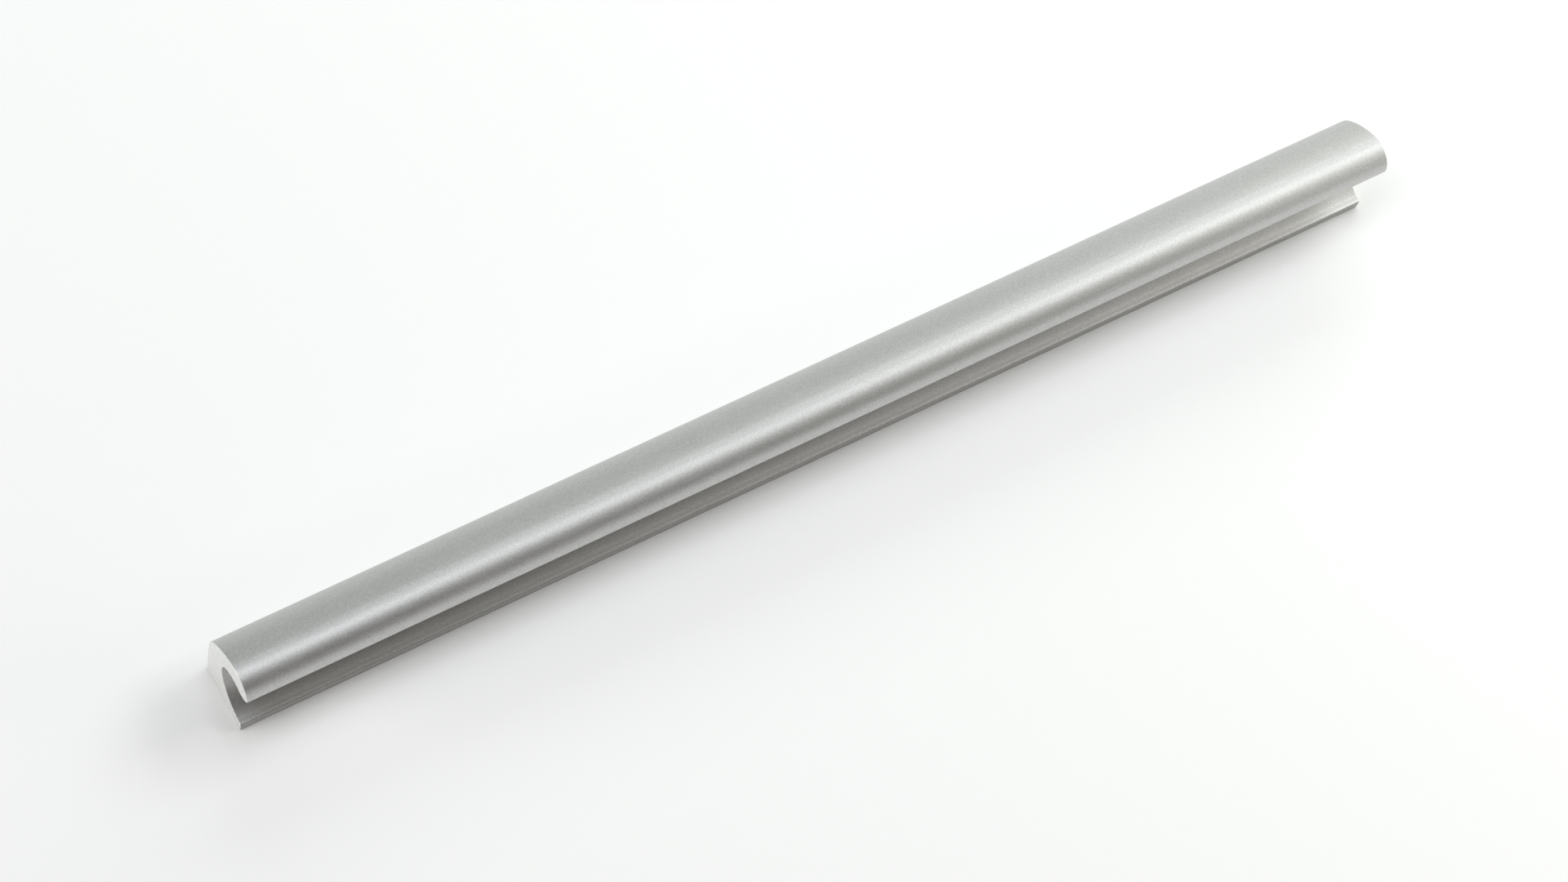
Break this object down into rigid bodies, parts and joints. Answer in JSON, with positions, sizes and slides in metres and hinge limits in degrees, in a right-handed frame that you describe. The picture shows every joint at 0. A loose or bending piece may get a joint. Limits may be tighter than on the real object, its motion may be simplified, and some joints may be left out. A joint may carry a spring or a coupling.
{
  "type": "furniture handle",
  "caption": "Straight extruded profile handle with a flat mounting leg, a round-crowned grip and an open finger channel along its whole length.",
  "frame": {"origin": "centre of the handle's plan outline, on the mounting face it lies on", "axes": "+X along the handle, +Z out of the mounting face towards the crown of the grip, -Y out of the finger channel"},
  "size_m": [0.336, 0.0198, 0.031],
  "materials": {
    "anodised_aluminium": "fine blasted and natural anodised, satin"
  },
  "bodies": {
    "root": {"handle_profile": "anodised_aluminium"}
  },
  "joints": []
}
